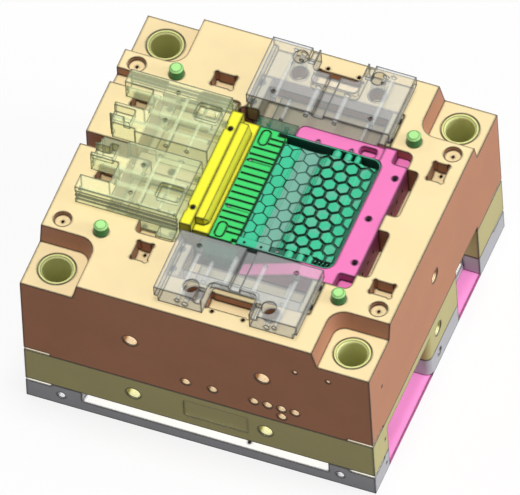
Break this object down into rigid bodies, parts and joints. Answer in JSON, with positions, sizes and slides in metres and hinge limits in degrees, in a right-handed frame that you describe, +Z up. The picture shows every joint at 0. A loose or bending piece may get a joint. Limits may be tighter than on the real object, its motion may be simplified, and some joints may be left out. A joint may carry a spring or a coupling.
{
  "type": "housing mould moving half",
  "caption": "Moving half of an injection mould for a flat finned housing, with honeycomb core, sliding cores on three sides and an ejector set.",
  "frame": {"origin": "centre of the bottom face of the clamp plate", "axes": "+X along the mould away from the side slides, +Y to the back slide, +Z up, out of the parting face"},
  "size_m": [1, 0.95, 0.611],
  "materials": {
    "bolster_steel": "fine ground, sand coloured",
    "box_steel": "fine ground, pale olive",
    "clamp_steel": "fine ground, light grey",
    "insulation_pink": "matt laminate board",
    "bush_steel": "ground, pale green",
    "screw_steel": "black oxide",
    "plain_steel": "ground",
    "bronze": "ground bronze",
    "return_pin_steel": "ground, green",
    "core_pink": "milled, pink",
    "honeycomb_teal": "milled, teal",
    "comb_green": "milled, bright green",
    "gate_yellow": "milled, yellow",
    "cross_slide_clear": "shown see-through, neutral grey",
    "left_slide_clear": "shown see-through, greenish grey",
    "slide_core_steel": "milled steel"
  },
  "bodies": {
    "mould_base": {"clamp_plate": "clamp_steel", "insulation_board": "insulation_pink", "ejector_box": "box_steel", "bolster_plate": "bolster_steel", "guide_bushes": "bush_steel", "clamp_screws": "screw_steel", "support_pillars": "plain_steel", "rest_buttons": "screw_steel", "ejector_guide_pins": "plain_steel", "core_insert": "core_pink", "honeycomb_core": "honeycomb_teal", "comb_core": "comb_green", "gate_block": "gate_yellow", "gate_strip": "gate_yellow", "gate_screws": "screw_steel", "insert_screws": "screw_steel", "core_screws": "screw_steel", "back_gibs": "bronze", "front_gibs": "bronze", "back_wear_plate": "bronze", "front_wear_plate": "bronze", "left_rail": "bronze", "left_gibs": "bronze", "left_wear_plates": "bronze", "gib_screws": "screw_steel", "left_gib_screws": "screw_steel"},
    "back_cross_slide": {"back_slide": "cross_slide_clear", "back_slide_core": "slide_core_steel"},
    "front_cross_slide": {"front_slide": "cross_slide_clear", "front_slide_core": "slide_core_steel"},
    "rear_side_slide": {"left_slide_rear": "left_slide_clear"},
    "front_side_slide": {"left_slide_front": "left_slide_clear"},
    "ejector_set": {"ejector_base_plate": "plain_steel", "ejector_retainer": "plain_steel", "ejector_plate_screws": "screw_steel", "ejector_guide_bushes": "bronze", "return_pins": "return_pin_steel", "ejector_pins": "plain_steel"}
  },
  "joints": [
    {"name": "back_slide_travel", "type": "slide", "parent": "mould_base", "child": "back_cross_slide", "axis": [0, 1, 0], "range_m": [0, 0.028]},
    {"name": "front_slide_travel", "type": "slide", "parent": "mould_base", "child": "front_cross_slide", "axis": [0, -1, 0], "range_m": [0, 0.028]},
    {"name": "left_rear_travel", "type": "slide", "parent": "mould_base", "child": "rear_side_slide", "axis": [-1, 0, 0], "range_m": [0, 0.05]},
    {"name": "left_front_travel", "type": "slide", "parent": "mould_base", "child": "front_side_slide", "axis": [-1, 0, 0], "range_m": [0, 0.05]},
    {"name": "ejector_stroke", "type": "slide", "parent": "mould_base", "child": "ejector_set", "axis": [0, 0, 1], "range_m": [0, 0.055]}
  ],
  "couplings": [
    {"joint": "front_slide_travel", "follows": "back_slide_travel", "ratio": 1}
  ]
}
